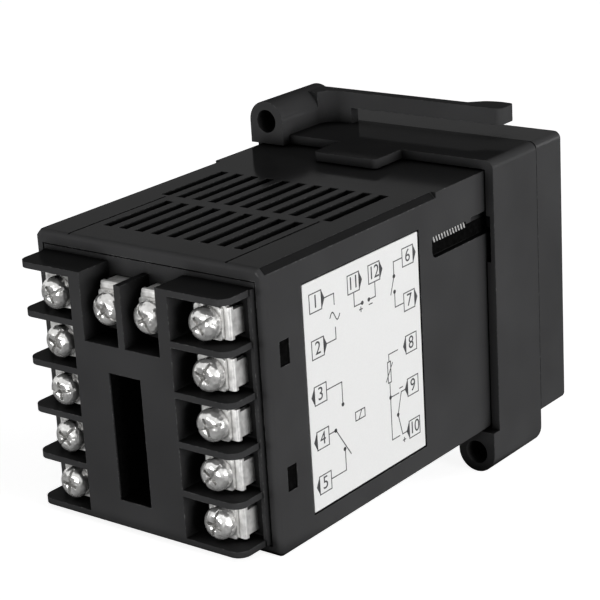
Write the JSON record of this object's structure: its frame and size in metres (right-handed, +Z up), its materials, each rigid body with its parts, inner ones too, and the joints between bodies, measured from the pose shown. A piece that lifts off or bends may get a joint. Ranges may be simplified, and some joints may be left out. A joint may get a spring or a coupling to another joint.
{
  "type": "panel-mounted temperature controller",
  "caption": "Square panel-mounted PID temperature controller with a vented case, ratchet mounting frame, rear screw terminals, display window and push keys.",
  "frame": {"origin": "centre of the panel plane, the bezel's back face, on the axis of the case", "axes": "+Y along the case from the panel to the rear terminals, the display faces -Y, +Z up"},
  "size_m": [0.048, 0.0849, 0.0598],
  "materials": {
    "black_plastic": "satin",
    "block_plastic": "satin",
    "frame_plastic": "satin",
    "panel_plastic": "matt",
    "smoked_window": "gloss",
    "key_plastic": "matt",
    "label_face": "satin",
    "nickel_plate": "bright",
    "nickel_clamp": "bright",
    "nickel_screw": "bright",
    "circuit_board": "satin",
    "display_plastic": "gloss",
    "led_plastic": "gloss",
    "switch_plastic": "matt",
    "plunger_plastic": "matt",
    "ferrite": "matt",
    "winding_tape": "satin",
    "relay_plastic": "satin",
    "capacitor_sleeve": "satin",
    "chip_resin": "matt"
  },
  "bodies": {
    "housing": {"case": "black_plastic", "terminal_block": "block_plastic", "front_panel": "panel_plastic", "display_lens": "smoked_window", "rear_label": "label_face", "display_board": "circuit_board", "power_board": "circuit_board", "control_board": "circuit_board", "process_display": "display_plastic", "setpoint_display": "display_plastic", "status_leds": "led_plastic", "transformer_core": "ferrite", "transformer_coil": "winding_tape", "relay": "relay_plastic", "capacitors": "capacitor_sleeve", "board_chips": "chip_resin", "tact_switches": "switch_plastic", "terminal_plates": "nickel_plate"},
    "frame": {"mounting_frame": "frame_plastic"},
    "button_set": {"key_set": "key_plastic", "plunger_set": "plunger_plastic"},
    "button_shift": {"key_shift": "key_plastic", "plunger_shift": "plunger_plastic"},
    "button_down": {"key_down": "key_plastic", "plunger_down": "plunger_plastic"},
    "button_up": {"key_up": "key_plastic", "plunger_up": "plunger_plastic"},
    "clamp_body_01": {"clamp_01": "nickel_clamp"},
    "screw_body_01": {"screw_01": "nickel_screw"},
    "clamp_body_02": {"clamp_02": "nickel_clamp"},
    "screw_body_02": {"screw_02": "nickel_screw"},
    "clamp_body_03": {"clamp_03": "nickel_clamp"},
    "screw_body_03": {"screw_03": "nickel_screw"},
    "clamp_body_04": {"clamp_04": "nickel_clamp"},
    "screw_body_04": {"screw_04": "nickel_screw"},
    "clamp_body_05": {"clamp_05": "nickel_clamp"},
    "screw_body_05": {"screw_05": "nickel_screw"},
    "clamp_body_06": {"clamp_06": "nickel_clamp"},
    "screw_body_06": {"screw_06": "nickel_screw"},
    "clamp_body_07": {"clamp_07": "nickel_clamp"},
    "screw_body_07": {"screw_07": "nickel_screw"},
    "clamp_body_08": {"clamp_08": "nickel_clamp"},
    "screw_body_08": {"screw_08": "nickel_screw"},
    "clamp_body_09": {"clamp_09": "nickel_clamp"},
    "screw_body_09": {"screw_09": "nickel_screw"},
    "clamp_body_10": {"clamp_10": "nickel_clamp"},
    "screw_body_10": {"screw_10": "nickel_screw"},
    "clamp_body_11": {"clamp_11": "nickel_clamp"},
    "screw_body_11": {"screw_11": "nickel_screw"},
    "clamp_body_12": {"clamp_12": "nickel_clamp"},
    "screw_body_12": {"screw_12": "nickel_screw"}
  },
  "joints": [
    {"name": "frame_slide", "type": "slide", "parent": "housing", "child": "frame", "axis": [0, 1, 0], "range_m": [0, 0.012]},
    {"name": "press_set", "type": "slide", "parent": "housing", "child": "button_set", "axis": [0, 1, 0], "range_m": [0, 0.0003], "stiffness_N_per_m": 5000},
    {"name": "press_shift", "type": "slide", "parent": "housing", "child": "button_shift", "axis": [0, 1, 0], "range_m": [0, 0.0003], "stiffness_N_per_m": 5000},
    {"name": "press_down", "type": "slide", "parent": "housing", "child": "button_down", "axis": [0, 1, 0], "range_m": [0, 0.0003], "stiffness_N_per_m": 5000},
    {"name": "press_up", "type": "slide", "parent": "housing", "child": "button_up", "axis": [0, 1, 0], "range_m": [0, 0.0003], "stiffness_N_per_m": 5000},
    {"name": "clamp_lift_01", "type": "slide", "parent": "housing", "child": "clamp_body_01", "axis": [0, 1, 0], "range_m": [0, 0.0015]},
    {"name": "screw_turn_01", "type": "hinge", "parent": "clamp_body_01", "child": "screw_body_01", "pos_m": [-0.0145, 0.0739, 0.01434], "axis": [0, 1, 0], "range_deg": [0, 1080]},
    {"name": "clamp_lift_02", "type": "slide", "parent": "housing", "child": "clamp_body_02", "axis": [0, 1, 0], "range_m": [0, 0.0015]},
    {"name": "screw_turn_02", "type": "hinge", "parent": "clamp_body_02", "child": "screw_body_02", "pos_m": [-0.0145, 0.0739, 0.00662], "axis": [0, 1, 0], "range_deg": [0, 1080]},
    {"name": "clamp_lift_03", "type": "slide", "parent": "housing", "child": "clamp_body_03", "axis": [0, 1, 0], "range_m": [0, 0.0015]},
    {"name": "screw_turn_03", "type": "hinge", "parent": "clamp_body_03", "child": "screw_body_03", "pos_m": [-0.0145, 0.0739, -0.0011], "axis": [0, 1, 0], "range_deg": [0, 1080]},
    {"name": "clamp_lift_04", "type": "slide", "parent": "housing", "child": "clamp_body_04", "axis": [0, 1, 0], "range_m": [0, 0.0015]},
    {"name": "screw_turn_04", "type": "hinge", "parent": "clamp_body_04", "child": "screw_body_04", "pos_m": [-0.0145, 0.0739, -0.00882], "axis": [0, 1, 0], "range_deg": [0, 1080]},
    {"name": "clamp_lift_05", "type": "slide", "parent": "housing", "child": "clamp_body_05", "axis": [0, 1, 0], "range_m": [0, 0.0015]},
    {"name": "screw_turn_05", "type": "hinge", "parent": "clamp_body_05", "child": "screw_body_05", "pos_m": [-0.0145, 0.0739, -0.01654], "axis": [0, 1, 0], "range_deg": [0, 1080]},
    {"name": "clamp_lift_06", "type": "slide", "parent": "housing", "child": "clamp_body_06", "axis": [0, 1, 0], "range_m": [0, 0.0015]},
    {"name": "screw_turn_06", "type": "hinge", "parent": "clamp_body_06", "child": "screw_body_06", "pos_m": [0.0145, 0.0739, 0.01434], "axis": [0, 1, 0], "range_deg": [0, 1080]},
    {"name": "clamp_lift_07", "type": "slide", "parent": "housing", "child": "clamp_body_07", "axis": [0, 1, 0], "range_m": [0, 0.0015]},
    {"name": "screw_turn_07", "type": "hinge", "parent": "clamp_body_07", "child": "screw_body_07", "pos_m": [0.0145, 0.0739, 0.00662], "axis": [0, 1, 0], "range_deg": [0, 1080]},
    {"name": "clamp_lift_08", "type": "slide", "parent": "housing", "child": "clamp_body_08", "axis": [0, 1, 0], "range_m": [0, 0.0015]},
    {"name": "screw_turn_08", "type": "hinge", "parent": "clamp_body_08", "child": "screw_body_08", "pos_m": [0.0145, 0.0739, -0.0011], "axis": [0, 1, 0], "range_deg": [0, 1080]},
    {"name": "clamp_lift_09", "type": "slide", "parent": "housing", "child": "clamp_body_09", "axis": [0, 1, 0], "range_m": [0, 0.0015]},
    {"name": "screw_turn_09", "type": "hinge", "parent": "clamp_body_09", "child": "screw_body_09", "pos_m": [0.0145, 0.0739, -0.00882], "axis": [0, 1, 0], "range_deg": [0, 1080]},
    {"name": "clamp_lift_10", "type": "slide", "parent": "housing", "child": "clamp_body_10", "axis": [0, 1, 0], "range_m": [0, 0.0015]},
    {"name": "screw_turn_10", "type": "hinge", "parent": "clamp_body_10", "child": "screw_body_10", "pos_m": [0.0145, 0.0739, -0.01654], "axis": [0, 1, 0], "range_deg": [0, 1080]},
    {"name": "clamp_lift_11", "type": "slide", "parent": "housing", "child": "clamp_body_11", "axis": [0, 1, 0], "range_m": [0, 0.0015]},
    {"name": "screw_turn_11", "type": "hinge", "parent": "clamp_body_11", "child": "screw_body_11", "pos_m": [-0.004, 0.0739, 0.0135], "axis": [0, 1, 0], "range_deg": [0, 1080]},
    {"name": "clamp_lift_12", "type": "slide", "parent": "housing", "child": "clamp_body_12", "axis": [0, 1, 0], "range_m": [0, 0.0015]},
    {"name": "screw_turn_12", "type": "hinge", "parent": "clamp_body_12", "child": "screw_body_12", "pos_m": [0.004, 0.0739, 0.0135], "axis": [0, 1, 0], "range_deg": [0, 1080]}
  ],
  "couplings": [
    {"joint": "screw_turn_01", "follows": "clamp_lift_01", "rad_per_m": 12566},
    {"joint": "screw_turn_02", "follows": "clamp_lift_02", "rad_per_m": 12566},
    {"joint": "screw_turn_03", "follows": "clamp_lift_03", "rad_per_m": 12566},
    {"joint": "screw_turn_04", "follows": "clamp_lift_04", "rad_per_m": 12566},
    {"joint": "screw_turn_05", "follows": "clamp_lift_05", "rad_per_m": 12566},
    {"joint": "screw_turn_06", "follows": "clamp_lift_06", "rad_per_m": 12566},
    {"joint": "screw_turn_07", "follows": "clamp_lift_07", "rad_per_m": 12566},
    {"joint": "screw_turn_08", "follows": "clamp_lift_08", "rad_per_m": 12566},
    {"joint": "screw_turn_09", "follows": "clamp_lift_09", "rad_per_m": 12566},
    {"joint": "screw_turn_10", "follows": "clamp_lift_10", "rad_per_m": 12566},
    {"joint": "screw_turn_11", "follows": "clamp_lift_11", "rad_per_m": 12566},
    {"joint": "screw_turn_12", "follows": "clamp_lift_12", "rad_per_m": 12566}
  ]
}
